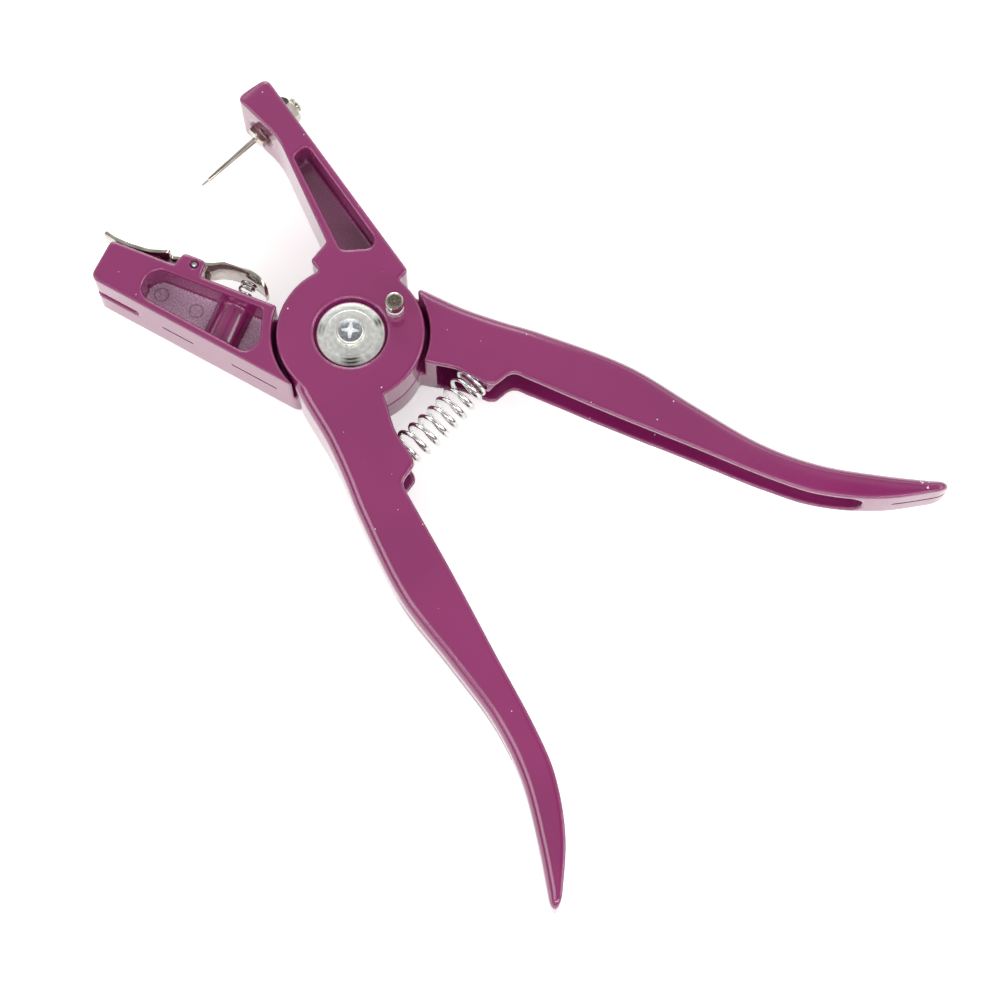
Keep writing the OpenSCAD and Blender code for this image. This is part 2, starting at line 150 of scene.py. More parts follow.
floor_tone = add_node(enamel, "Mix", {"Factor": ring_line.outputs["Result"], "A": raw_tone.outputs["Color"],
                                      "B": hex_colour("4f2c4a")}, data_type="RGBA")
floored = add_node(enamel, "Mix", {"Factor": rough_cast, "A": tone.outputs["Color"],
                                   "B": floor_tone.outputs["Result"]}, data_type="RGBA")
speck_cells = add_node(enamel, "TexVoronoi", voronoi_dimensions="2D", links={"Vector": place,
                                                                             "Scale": 1 / (SPECK_SPACING * MM)})
facing = add_node(enamel, "SeparateXYZ", {"Vector": add_node(enamel, "NewGeometry").outputs["Normal"]})
flat_top = add_node(enamel, "MapRange", {"Value": facing.outputs["Z"], "From Min": 0.9, "From Max": 0.92})
speck_kind = add_node(enamel, "SeparateColor", {"Color": speck_cells.outputs["Color"]})
speck_limit = add_node(enamel, "MapRange", {"Value": speck_kind.outputs["Red"], "From Min": 0.6, "From Max": 1.0,
                                            "To Min": 0.0, "To Max": 0.024})
speck_spot = add_node(enamel, "Math", {0: speck_cells.outputs["Distance"], 1: speck_limit.outputs["Result"]},
                      operation="LESS_THAN")
speck = add_node(enamel, "Math", {0: speck_spot.outputs[0], 1: flat_top.outputs["Result"]}, operation="MULTIPLY")
parting = add_node(enamel, "Attribute", attribute_name="parting").outputs["Fac"]
off_seam = add_node(enamel, "Math", {0: parting}, operation="ABSOLUTE")
along_jaw = add_node(enamel, "SeparateXYZ", {"Vector": in_jaw.outputs[0]})
jaw_share = add_node(enamel, "MapRange", {"Value": along_jaw.outputs["X"], "From Min": 0.0,
                                         "From Max": FLASH_SPAN * MM})
jaw_spans = ramp(enamel, jaw_share.outputs["Result"], [(0.0, grey(0)), (0.18, grey(1)), (0.37, grey(0)),
                                                       (0.53, grey(1)), (0.66, grey(0))])
jaw_spans.color_ramp.interpolation = "CONSTANT"
under_jaw = add_node(enamel, "Math", {0: along_jaw.outputs["Y"], 1: 0.0}, operation="GREATER_THAN")
jaw_flash = add_node(enamel, "Math", {0: jaw_spans.outputs["Color"], 1: under_jaw.outputs[0]}, operation="MULTIPLY")
flash_noise = add_node(enamel, "TexNoise", {"Vector": place, "Scale": 1 / (FLASH_SIZE * MM), "Detail": 0.0})
flash_left = add_node(enamel, "Math", {0: flash_noise.outputs["Fac"], 1: 0.5}, operation="GREATER_THAN")
on_handles = add_node(enamel, "Math", {0: along_jaw.outputs["X"], 1: HANDLES_FROM * MM}, operation="LESS_THAN")
handle_flash = add_node(enamel, "Math", {0: flash_left.outputs[0], 1: on_handles.outputs[0]}, operation="MULTIPLY")
from_chips = add_node(enamel, "VectorMath", {0: place, 1: CHIPS}, operation="DISTANCE").outputs["Value"]
at_tip = add_node(enamel, "MapRange", {"Value": from_chips, "From Min": 9 * MM, "From Max": 10 * MM,
                                       "To Min": 0.7, "To Max": 0.0})
some_flash = add_node(enamel, "Math", {0: jaw_flash.outputs[0], 1: handle_flash.outputs[0]}, operation="MAXIMUM")
flash = add_node(enamel, "Math", {0: some_flash.outputs[0], 1: at_tip.outputs["Result"]}, operation="MAXIMUM")
seam_width = add_node(enamel, "Math", {0: flash.outputs[0], 1: FLASH_HALF}, operation="MULTIPLY")
seam_and_shade = add_node(enamel, "Math", {0: off_seam.outputs[0], 1: seam_width.outputs[0]}, operation="LESS_THAN")
chip_area = add_node(enamel, "MapRange", {"Value": from_chips, "From Min": 1.5 * MM, "From Max": 5.5 * MM,
                                          "To Min": 1.2, "To Max": 0.0})
chip_noise = add_node(enamel, "TexNoise", {"Vector": place, "Scale": 1 / (CHIP_SIZE * MM), "Detail": 3.0})
chip_level = add_node(enamel, "Math", {0: chip_noise.outputs["Fac"], 1: chip_area.outputs["Result"]},
                      operation="MULTIPLY")
chip = add_node(enamel, "Math", {0: chip_level.outputs[0], 1: 0.73}, operation="GREATER_THAN")
marked = add_node(enamel, "Math", {0: speck.outputs[0], 1: chip.outputs[0]}, operation="MAXIMUM")
spotted = add_node(enamel, "Mix", {"Factor": marked.outputs[0], "A": floored.outputs["Result"],
                                   "B": hex_colour("f2d6e6")}, data_type="RGBA")
# The parting line is real, and its dark colour is painted shade of the groove along it
coloured = add_node(enamel, "Mix", {"Factor": seam_and_shade.outputs[0], "A": spotted.outputs["Result"],
                                    "B": hex_colour("5e3050")}, data_type="RGBA")
peel = add_node(enamel, "TexNoise", {"Vector": place, "Scale": 1 / (PEEL_SIZE * MM), "Detail": 1.0})
grit_height = add_node(enamel, "Math", {0: grit.outputs["Fac"], 1: rough_cast}, operation="MULTIPLY")
height = add_node(enamel, "Math", {0: grit_height.outputs[0], 1: seam_and_shade.outputs[0]}, operation="SUBTRACT")
soft_edge = add_node(enamel, "Bevel", {"Radius": EDGE_R * MM}, samples=6)
peel_bump = add_node(enamel, "Bump", {"Height": peel.outputs["Fac"], "Strength": 0.03, "Distance": 0.4 * MM,
                                      "Normal": soft_edge.outputs[0]})
grit_bump = add_node(enamel, "Bump", {"Height": height.outputs[0], "Strength": 0.6, "Distance": 0.3 * MM,
                                      "Normal": peel_bump.outputs["Normal"]})
gloss = add_node(enamel, "MapRange", {"Value": rough_cast, "To Min": 0.26, "To Max": 0.55})
floor_coat = add_node(enamel, "MapRange", {"Value": rough_cast, "To Min": 1.0, "To Max": 0.15})
off_flash = add_node(enamel, "Math", {0: 1.0, 1: seam_and_shade.outputs[0]}, operation="SUBTRACT")
coat = add_node(enamel, "Math", {0: floor_coat.outputs["Result"], 1: off_flash.outputs[0]}, operation="MULTIPLY")
under_coat = add_node(enamel, "Math", {0: off_flash.outputs[0], 1: 0.3}, operation="MULTIPLY")
enamel_shader = add_node(enamel, "BsdfPrincipled", {
    "Base Color": coloured.outputs["Result"], "Roughness": gloss.outputs["Result"],
    "Normal": grit_bump.outputs["Normal"], "IOR": 1.5, "Specular IOR Level": under_coat.outputs[0],
    "Coat Weight": coat.outputs[0], "Coat Roughness": 0.05, "Coat IOR": 1.65,
    "Coat Normal": peel_bump.outputs["Normal"]})
enamel.node_tree.links.new(enamel_shader.outputs[0], enamel_out.inputs["Surface"])

# The lever's sizes: its thickness, hub and handle, the handle spring's seat, and the channel's walls
LEVER_T = 21.0
REAR_HUB_T = 10.0
HUB_R = 21.2
CLEAR_R = 22.6
HANDLE_T = 16.0
TIP_T = 12.5
HANDLE_LEN = 174.0
SPRING_X = 34.0
SPRING_SEAT_X = 33.4
SPRING_HALF = 15.8
SPRING_R = 5.3
WIRE_R = 0.65
SEAT_PLAY = 0.4
STUB_L = 2.5
GRIP_S = SPRING_X + 18
MID_Z = LEVER_T / 2
FLANGE_T = 2.5
LOWER_FLANGE_T = 1.6
BACK_WALL = 3.6
RECESS_R = 10.6
RECESS_D = 2.7


def rounded(corners, step=math.radians(6)):
    """Closed outline through corners of x, y and radius, each rounded by an arc."""
    points = []
    for i, (x, y, r) in enumerate(corners):
        c = Vector((x, y))
        if r == 0:
            points.append(c)
            continue
        a = (Vector(corners[i - 1][:2]) - c).normalized()
        b = (Vector(corners[(i + 1) % len(corners)][:2]) - c).normalized()
        half = a.angle(b) / 2
        centre = c + (a + b).normalized() * r / math.sin(half)
        first = c + a * r / math.tan(half) - centre
        last = c + b * r / math.tan(half) - centre
        start = math.atan2(first.y, first.x)
        sweep = (math.atan2(last.y, last.x) - start + math.pi) % (2 * math.pi) - math.pi
        steps = max(2, math.ceil(abs(sweep) / step))
        points += [centre + r * Vector((math.cos(start + sweep * k / steps), math.sin(start + sweep * k / steps)))
                   for k in range(steps + 1)]
    return points


def smooth(knots, x):
    """Height at x of a smooth curve through knots of place and height."""
    i = 0
    while i < len(knots) - 2 and x >= knots[i + 1][0]:
        i += 1

    def slope(j):
        a = knots[max(j - 1, 0)]
        b = knots[min(j + 1, len(knots) - 1)]
        return (b[1] - a[1]) / (b[0] - a[0])

    width = knots[i + 1][0] - knots[i][0]
    u = (x - knots[i][0]) / width
    return ((2 * u**3 - 3 * u**2 + 1) * knots[i][1] + (u**3 - 2 * u**2 + u) * slope(i) * width
            + (3 * u**2 - 2 * u**3) * knots[i + 1][1] + (u**3 - u**2) * slope(i + 1) * width)


def mesh_object(name, points, faces):
    """Object from points in millimetres, with its faces turned outward."""
    mesh = bpy.data.meshes.new(name)
    mesh.from_pydata([Vector(p) * MM for p in points], [], faces)
    work = bmesh.new()
    work.from_mesh(mesh)
    bmesh.ops.recalc_face_normals(work, faces=work.faces)
    work.to_mesh(mesh)
    work.free()
    made = bpy.data.objects.new(name, mesh)
    bpy.context.scene.collection.objects.link(made)
    return made


def loft(rings, closed=False):
    """Closed body through rings of equal counts, capped at both ends or joined end to end."""
    n, m = len(rings[0]), len(rings)
    faces = [] if closed else [list(range(n)), [(m - 1) * n + i for i in range(n)]]
    for j in range(m if closed else m - 1):
        k = (j + 1) % m
        faces += [[j * n + i, k * n + i, k * n + (i + 1) % n, j * n + (i + 1) % n] for i in range(n)]
    return mesh_object("body", [p for ring in rings for p in ring], faces)


def prism(outline, low, high):
    """Outline raised from one height to another."""
    return loft([[(p[0], p[1], z) for p in outline] for z in (low, high)])


def block(x0, x1, y0, y1, z0, z1):
    """Box between limits on each axis."""
    return prism([(x0, y0), (x1, y0), (x1, y1), (x0, y1)], z0, z1)


def lathe(profile, sides=96):
    """Profile of radius and height turned about Z. A profile that starts and ends on the axis closes there."""
    on_axis = profile[0][0] == 0 and profile[-1][0] == 0
    inner = profile[1:-1] if on_axis else profile
    turns = [2 * math.pi * i / sides for i in range(sides)]
    points = [(r * math.cos(a), r * math.sin(a), z) for a in turns for r, z in inner]
    n = len(inner)
    faces = []
    for i in range(sides):
        a, b = i * n, (i + 1) % sides * n
        faces += [[a + j, b + j, b + j + 1, a + j + 1] for j in range(n - 1)]
        if not on_axis:
            faces.append([a + n - 1, b + n - 1, b, a])
    if on_axis:
        low, high = len(points), len(points) + 1
        points += [(0, 0, profile[0][1]), (0, 0, profile[-1][1])]
        for i in range(sides):
            a, b = i * n, (i + 1) % sides * n
            faces += [[low, b, a], [high, a + n - 1, b + n - 1]]
    return mesh_object("turned", points, faces)


def rod(r, low, high, sides=96):
    """Round bar on Z between two heights."""
    return lathe([(0, low), (r, low), (r, high), (0, high)], sides)


def placed(made, *turns):
    """Mesh moved by matrices, the last one first."""
    for matrix in reversed(turns):
        made.data.transform(matrix)
        if matrix.determinant() < 0:
            made.data.flip_normals()
    return made


def shift(x, y, z):
    """Matrix of a move in millimetres."""
    return Matrix.Translation(Vector((x, y, z)) * MM)


def turn(angle, axis="Z"):
    """Matrix of a turn about an axis."""
    return Matrix.Rotation(angle, 4, axis)


def apply_modifiers(made):
    """Replace the mesh by what its modifiers make of it."""
    bpy.context.view_layer.update()
    graph = bpy.context.evaluated_depsgraph_get()
    result = bpy.data.meshes.new_from_object(made.evaluated_get(graph))
    made.modifiers.clear()
    made.data = result
    return made


def combine(body, others, operation):
    """Boolean of a body with other closed bodies, which are used up."""
    for other in others:
        step = body.modifiers.new("step", "BOOLEAN")
        step.operation = operation
        step.solver = "MANIFOLD"
        step.object = other
        apply_modifiers(body)
        bpy.data.objects.remove(other)
    return body


def cast_edges(made, voxel=0.34, rounds=18, keep=0.38):
    """Soften every edge of a body as casting and enamel do, by about a millimetre's radius."""
    grid = made.modifiers.new("grid", "REMESH")
    grid.mode = "VOXEL"
    grid.voxel_size = voxel * MM
    soften = made.modifiers.new("soften", "SMOOTH")
    soften.factor = 0.5
    soften.iterations = rounds
    thin = made.modifiers.new("thin", "DECIMATE")
    thin.ratio = keep
    apply_modifiers(made)
    made.data.polygons.foreach_set("use_smooth", [True] * len(made.data.polygons))
    return made


def smooth_faces(made, angle=35):
    """Shade smooth but for edges sharper than an angle."""
    made.data.polygons.foreach_set("use_smooth", [True] * len(made.data.polygons))
    made.data.set_sharp_from_angle(angle=math.radians(angle))
    return made


def finished(made, name, body, node, material):
    """Name and dress a piece, and let it stand for its node on its body."""
    made.name = name
    made.data.materials.clear()
    made.data.materials.append(material)
    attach(made, body)
    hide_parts(node)
    return made


def along(share):
    """Distance from the pivot at a share of the way from the grip's start to the tip."""
    return GRIP_S + share * (HANDLE_LEN - GRIP_S)


# The lines of a handle, by distance from the pivot: its back, its inner edge, and half its thickness
back_knots = [(4, HUB_R - 0.3), (16, 18.9), (28, 16.6), (40, 15.5), (GRIP_S, 15), (along(0.22), 11.8),
              (along(0.4), 4.8), (along(0.56), -1), (along(0.7), -2.8), (along(0.85), -1.2), (along(1), 1.7)]
inner_knots = [(4, -3), (24, -2.9), (SPRING_X - 2, -2.6), (SPRING_X + 4, -3.8), (SPRING_X + 8, -4.6),
               (SPRING_X + 10.2, -3.9), (SPRING_X + 12.2, -0.9), (SPRING_X + 14.2, 0.5), (GRIP_S, 0),
               (along(0.2), -4), (along(0.42), -7.8), (along(0.6), -11), (along(0.72), -11.8),
               (along(0.86), -8.7), (along(1), -1.4)]
half_knots = [(4, LEVER_T / 2), (24, LEVER_T / 2), (44, HANDLE_T / 2), (along(0.3), (HANDLE_T + TIP_T) / 4),
              (along(0.5), TIP_T / 2 + 0.37 * (HANDLE_T - TIP_T) / 2),
              (along(0.8), TIP_T / 2 + 0.05 * (HANDLE_T - TIP_T)), (along(1), TIP_T / 2)]


def half_at(s):
    """Half the handle's thickness at a distance."""
    return min(LEVER_T / 2, smooth(half_knots, s))


def round_share(s, end, length):
    """Share of the full width left near a rounded end."""
    return 1.0 if s < end - length else math.sqrt(max(0.0, 1 - ((s - end + length) / length) ** 2))


BACK_R = 3.5
HANDLE_FROM = 4.0
HANDLE_STEP = 1.25
TIP_ROUND = 3.0
CHANNEL_FROM = 26.0
CHANNEL_TO = along(0.82)
CHANNEL_STEP = 1.2
CHANNEL_ROUND = 4.0


def handle_ring(s, width=1.0):
    """Section of a handle: square inner edge and rounded back."""
    back, inner, half = smooth(back_knots, s), smooth(inner_knots, s), half_at(s)
    centre = (back + inner) / 2
    w = (back - inner) / 2 * width
    h = half - (1 - width) * BACK_R
    r = min(BACK_R, 1.6 * w)
    middle = LEVER_T - half
    arc = [math.radians(15 * k) for k in range(7)]
    lower = [(w - r + r * math.sin(a), -h + r - r * math.cos(a)) for a in arc]
    upper = [(w - r + r * math.cos(a), h - r + r * math.sin(a)) for a in arc]
    section = [(-w, -h)] + lower + upper + [(-w, h)]
    return [(s, centre + p, middle + q) for p, q in section]


def handle_body():
    """A whole handle, from inside the hub to its rounded tip."""
    ends = [HANDLE_LEN - TIP_ROUND + TIP_ROUND * math.sin(math.radians(a)) for a in (0, 15, 30, 45, 60, 72, 82)]
    steps = [HANDLE_FROM + HANDLE_STEP * k for k in range(133)]
    rings = [handle_ring(s) for s in steps if s < HANDLE_LEN - TIP_ROUND - 0.5]
    return loft(rings + [handle_ring(s, round_share(s, HANDLE_LEN, TIP_ROUND)) for s in ends])


def handle_channel():
    """The channel let into a handle's inner side, round at both ends."""
    first, last = CHANNEL_FROM, CHANNEL_TO
    evenly = [first + CHANNEL_STEP * k for k in range(1, 101)]
    steps = [first, first + 0.5] + [s for s in evenly if s < last - CHANNEL_ROUND - 0.2]
    steps += [last - CHANNEL_ROUND + CHANNEL_ROUND * math.sin(math.radians(a)) for a in (0, 15, 30, 45, 60, 70)]
    rings = []
    for s in steps:
        share, lead = max(round_share(s, last, CHANNEL_ROUND), 0.3), max(0.0, first + 0.5 - s)
        middle = LEVER_T - half_at(s)
        top = middle + (half_at(s) - FLANGE_T) * share - lead
        low = middle - (half_at(s) - LOWER_FLANGE_T) * share + lead
        back = max(smooth(back_knots, s) - BACK_WALL, smooth(inner_knots, s) + 0.6)
        mouth = smooth(inner_knots, s) - 6
        rings.append([(s, mouth, low), (s, back, low), (s, back, top), (s, mouth, top)])
    return loft(rings)


def on_handle(side):
    """Matrix from the handle's own frame; side is 1 for the front lever's handle, -1 for the rear lever's."""
    if side > 0:
        return turn(math.pi - HANDLE_ANGLE) @ Matrix.Scale(-1, 4, (0, 1, 0))
    return turn(math.pi + HANDLE_ANGLE)


def spring_end(side):
    """Matrix to one end of the handle spring, with Z pointing out of the spring."""
    return shift(-SPRING_SEAT_X, side * SPRING_HALF, LEVER_T - HANDLE_T / 2) @ turn(-side * math.pi / 2, "X")


def handle(side):
    """A handle with its channel, and the round boss inside that takes the spring on a stub."""
    body = placed(handle_body(), on_handle(side))
    shell = combine(body, [placed(handle_channel(), on_handle(side))], "DIFFERENCE")
    boss = combine(placed(handle_body(), on_handle(side)),
                   [placed(rod(SPRING_R + SEAT_PLAY, 0, 20), spring_end(side))], "INTERSECT")
    stub = placed(rod(SPRING_R - 2 * WIRE_R - SEAT_PLAY, -STUB_L, 4), spring_end(side))
    return combine(shell, [boss, stub], "UNION")


JAW = turn(JAW_ANGLE)
JAW_LEN = 75.0
JAW_SLOPE = 0.1226
JAW_TIP_H = 13.0
LUG_H = 4.3
POCKET_WALL = 2.4
WEB_T = 3.0
SLOT_FROM = JAW_LEN - 14.0
SLOT_D = 7.5
SLOT_HALF = 5.0
SLIT_HALF = 1.2
BOSS_R = 5.6
SOCKET_R = 2.3
SOCKET_D = 9.0
HINGE_R = 0.9
COUNTERSINK_R = 1.4
COUNTERSINK_D = 0.7


def from_end(share):
    """Distance from the pivot at a share of the way from the jaw's end to the hub."""
    return JAW_LEN - share * (JAW_LEN - CLEAR_R)


LUG_FROM = from_end(0.542)
LUG_TO = from_end(0.38)
HINGE_X = from_end(0.483)
HINGE_Y = -0.465 * LUG_H
POCKET_END = from_end(0.271)
SPRING_BOSS_X = from_end(0.76)


def jaw_under(x):
    """The jaw's outer side, which slopes away from its end."""
    return JAW_TIP_H + (JAW_LEN - x) * JAW_SLOPE


jaw = prism(rounded([(JAW_LEN, 0, 1.8), (JAW_LEN + 0.7, JAW_TIP_H, 2.4), (8, jaw_under(7), 3), (0, 10, 0),
                     (0, 0.6, 0), (LUG_FROM, 0.6, 0), (LUG_FROM + 0.3, -LUG_H, 1.4), (LUG_TO - 1, -LUG_H, 1.6),
                     (LUG_TO, 0, 0)]), 0, LEVER_T)
pocket_outline = rounded([(CLEAR_R + 3.4, 3, 1.4), (POCKET_END, 3, 4.6),
                          (POCKET_END, jaw_under(POCKET_END) - POCKET_WALL, 4),
                          (CLEAR_R + 2.4, jaw_under(CLEAR_R) - POCKET_WALL, 3.2), (CLEAR_R + 0.2, 12.4, 4)])
combine(jaw, [prism(pocket_outline, -1, MID_Z - WEB_T / 2), prism(pocket_outline, MID_Z + WEB_T / 2, LEVER_T + 1)],
        "DIFFERENCE")
upright = turn(-math.pi / 2, "X")
boss = placed(rod(BOSS_R, 0, 13), shift(SPRING_BOSS_X, 2, MID_Z), upright)
combine(jaw, [boss], "UNION")
placed(jaw, JAW)
rear = combine(rod(HUB_R, 0, REAR_HUB_T, 144), [jaw, handle(-1)], "UNION")
FREE_END = 15.0
free_end = placed(block(0, FREE_END, 0, HUB_R + 10, REAR_HUB_T, 2 * LEVER_T), turn(math.pi + HANDLE_ANGLE))
EAR_T = 4.8
cuts = [rod(CLEAR_R, REAR_HUB_T, 2 * LEVER_T, 144), free_end, rod(RECESS_R, -1, RECESS_D)]
cuts += [placed(rod(EJECTOR_R, MID_Z + WEB_T / 2 - 0.3, MID_Z + WEB_T / 2 + 0.1), JAW, shift(x, y, 0))
         for x, y in EJECTORS]
cuts += [placed(cut, JAW) for cut in (
    block(LUG_FROM - 1, LUG_TO + 1, -LUG_H - 1, 1e-3, EAR_T, LEVER_T - EAR_T),
    block(SLOT_FROM, JAW_LEN + 5, -1, SLOT_D, MID_Z - SLOT_HALF, MID_Z + SLOT_HALF),
    block(SLOT_FROM, JAW_LEN + 5, -1, 30, MID_Z - SLIT_HALF, MID_Z + SLIT_HALF),
    placed(rod(SOCKET_R, -1, SOCKET_D), shift(SPRING_BOSS_X, 0, MID_Z), upright))]
combine(rear, cuts, "DIFFERENCE")


def mark_casting(made, into_pocket, pocket, rawness):
    """Attributes for the enamel: height over the parting line, and the pockets' thinly painted floors."""
    xs = [p[0] for p in pocket]
    ys = [p[1] for p in pocket]
    tables = {name: made.data.attributes.new(name, "FLOAT", "POINT") for name in ("parting", "rough_cast")}
    for i, vertex in enumerate(made.data.vertices):
        p = vertex.co / MM
        out = math.hypot(p.x, p.y)
        middle = LEVER_T - half_at(min(max(out, 24), HANDLE_LEN)) if p.x < -18 else MID_Z
        tables["parting"].data[i].value = p.z - middle
        q = into_pocket @ vertex.co / MM
        inside = min(xs) < q.x < max(xs) and min(ys) < q.y < max(ys)
        on_floor = inside and abs(abs(p.z - MID_Z) - WEB_T / 2) < 0.4 and abs(vertex.normal.z) > 0.8
        tables["rough_cast"].data[i].value = rawness if on_floor else 0.0


cast_edges(rear)
# The hinge pin's holes are drilled and countersunk after the casting is trimmed
drilled = [placed(rod(r, low, high, 48), JAW, shift(HINGE_X, HINGE_Y, 0)) for r, low, high in
           ((HINGE_R, -1, LEVER_T + 1), (COUNTERSINK_R, LEVER_T - COUNTERSINK_D, LEVER_T + 1),
            (COUNTERSINK_R, -1, COUNTERSINK_D))]
combine(rear, drilled, "DIFFERENCE")
smooth_faces(rear, 50)
mark_casting(rear, JAW.inverted(), pocket_outline, 1.0)
finished(rear, "rear_lever_casting", "rear", "rear_lever", enamel)

# Front lever: the other casting, with the upper half of the hub, its own handle, and the arm that carries the
# pin. The arm is pocketed like the jaw, and its tip is counterbored where the pin's hexagon sits.
PIN_TURN = math.radians(-2.5)
PIN_REACH = 67.5
PIN_DROP = 27.0
ARM = turn(PIN_TURN)
ARM_END = PIN_REACH + 10.6
ARM_SLOPE = 0.176
SHOULDER_X = CLEAR_R + 2.6
SHOULDER_Y = -14.3
ARM_SEAT_X = ARM_END - 18.8
ARM_POCKET_END = ARM_END - 26.6


def arm_outer(x):
    """The arm's outer side."""
    return -PIN_DROP - 10.8 + (ARM_END - 2.5 - x) * ARM_SLOPE


def arm_inner(x):
    """The arm's inner side, from its shoulder to the pin's seat."""
    return SHOULDER_Y + (x - SHOULDER_X) * (-PIN_DROP - SHOULDER_Y) / (ARM_SEAT_X - SHOULDER_X)


arm = prism(rounded([(ARM_END, -PIN_DROP, 2.5), (ARM_END - 2.5, -PIN_DROP - 10.8, 2.4), (2.1, arm_outer(2.1), 1.5),
                     (2, -20, 0), (19, -6.4, 0), (SHOULDER_X - 1, -7.1, 0.8), (SHOULDER_X, SHOULDER_Y, 0),
                     (ARM_SEAT_X, -PIN_DROP, 25)]), 0, LEVER_T)
arm_pocket = rounded([(ARM_POCKET_END, arm_inner(ARM_POCKET_END) - POCKET_WALL + 0.3, 1.2),
                      (ARM_POCKET_END, arm_outer(ARM_POCKET_END) + POCKET_WALL, 1.4),
                      (12.8, arm_outer(12.8) + POCKET_WALL, 2.6), (20.5, -15.6, 1.6)])
combine(arm, [prism(arm_pocket, -1, MID_Z - WEB_T / 2), prism(arm_pocket, MID_Z + WEB_T / 2, LEVER_T + 1)],
        "DIFFERENCE")
END_R = 4.0
corner = block(ARM_END - END_R, ARM_END + 1, -50, -20, LEVER_T - END_R, LEVER_T + 1)
round_end = placed(rod(END_R, -1, 40), shift(ARM_END - END_R, -55, LEVER_T - END_R), turn(-math.pi / 2, "X"))
combine(corner, [round_end], "DIFFERENCE")
combine(arm, [corner], "DIFFERENCE")
placed(arm, ARM)
PIN_AXIS = ARM @ shift(PIN_REACH, -PIN_DROP, MID_Z) @ turn(-math.pi / 2, "X")
COUNTERBORE_R = 4.4
COUNTERBORE_D = 1.2
PIN_SEAT_T = 9.0
NUT_SEAT_R = 5.3
SHANK_HOLE_R = 2.6
SLEEVE_R = 6.0
STUD_X = -4.8
STUD_Y = -13.4
front = combine(rod(HUB_R, REAR_HUB_T + 0.1, LEVER_T, 144), [arm, handle(1)], "UNION")
cuts = [rod(CLEAR_R, -1, REAR_HUB_T + 0.1, 144), rod(SLEEVE_R + 0.05, -1, LEVER_T + 1),
        rod(RECESS_R, LEVER_T - RECESS_D, LEVER_T + 1),
        placed(rod(COUNTERBORE_R, -COUNTERBORE_D, 5), PIN_AXIS),
        placed(rod(NUT_SEAT_R, -21, -PIN_SEAT_T), PIN_AXIS), placed(rod(SHANK_HOLE_R, -30, 1), PIN_AXIS)]
combine(front, cuts, "DIFFERENCE")
cast_edges(front)
mark_casting(front, ARM.inverted(), arm_pocket, 0.14)
finished(front, "front_lever_casting", "front", "front_lever", enamel)

# Pivot: a flanged steel sleeve from below, a bevelled washer and a cross-head pan screw from above. All three are
# turned or stamped from steel and plated with bright zinc, and the screw clamps them on the front lever.


def metal(name, dark, light, roughness, grain):
    """Plated metal, mottled between two colours and two finishes, with a grain size in millimetres."""
    material, out = new_material(name)
    spot = add_node(material, "TexCoord").outputs["Object"]
    mottle = add_node(material, "TexNoise", {"Vector": spot, "Scale": 1 / (grain * MM), "Detail": 4.0})
    shade = ramp(material, mottle.outputs["Fac"], [(0.35, hex_colour(dark)), (0.65, hex_colour(light))])
    finish = add_node(material, "MapRange", {"Value": mottle.outputs["Fac"], "From Min": 0.3, "From Max": 0.7,
                                             "To Min": roughness * 0.8, "To Max": roughness * 1.2})
    relief = add_node(material, "Bump", {"Height": mottle.outputs["Fac"], "Strength": 0.025, "Distance": 0.08 * MM})
    shader = add_node(material, "BsdfPrincipled", {
        "Base Color": shade.outputs["Color"], "Metallic": 1.0, "Roughness": finish.outputs["Result"],
        "Normal": relief.outputs["Normal"]})
    material.node_tree.links.new(shader.outputs[0], out.inputs["Surface"])
    return material


def bevelled(made, width, segments=3, angle=30):
    """Break the edges sharper than an angle by a round of the width in millimetres."""
    step = made.modifiers.new("edge", "BEVEL")
    step.width = width * MM
    step.segments = segments
    step.limit_method = "ANGLE"
    step.angle_limit = math.radians(angle)
    apply_modifiers(made)
    return smooth_faces(made)


# Bright zinc plate on turned and stamped steel, a little uneven where it was barrel-plated
zinc = metal("bright zinc plate", "e9eae4", "fcfcf6", 0.4, 1.1)
WASHER_R = 9.9
WASHER_T = 1.5
SLEEVE_TOP = LEVER_T - RECESS_D + 0.05
HEAD_FOOT = SLEEVE_TOP + WASHER_T
SCREW_R = 2.5
DARK_PATCHES = ((-5.9, 5.8, 3.6, 1.0), (-3.3, -7.9, 1.9, 0.95), (7.3, 4.8, 2.6, 0.55))
sleeve = bevelled(lathe([(0, 0), (WASHER_R, 0), (WASHER_R, RECESS_D), (SLEEVE_R, RECESS_D), (SLEEVE_R, SLEEVE_TOP),
                         (SCREW_R, SLEEVE_TOP), (SCREW_R, 5), (0, 5)]), 0.3)
finished(sleeve, "pivot_sleeve_turned", "rear", "pivot_sleeve", zinc)

washer = bevelled(placed(lathe([(SCREW_R + 0.15, 0), (WASHER_R, 0), (WASHER_R, WASHER_T - 0.7),
                                (WASHER_R - 0.25, WASHER_T - 0.45), (7.4, WASHER_T - 0.06), (7.25, WASHER_T - 0.1),
                                (7.1, WASHER_T - 0.06), (7.0, WASHER_T), (SCREW_R + 0.15, WASHER_T)], 128),
                         shift(0, 0, SLEEVE_TOP)), 0.12)
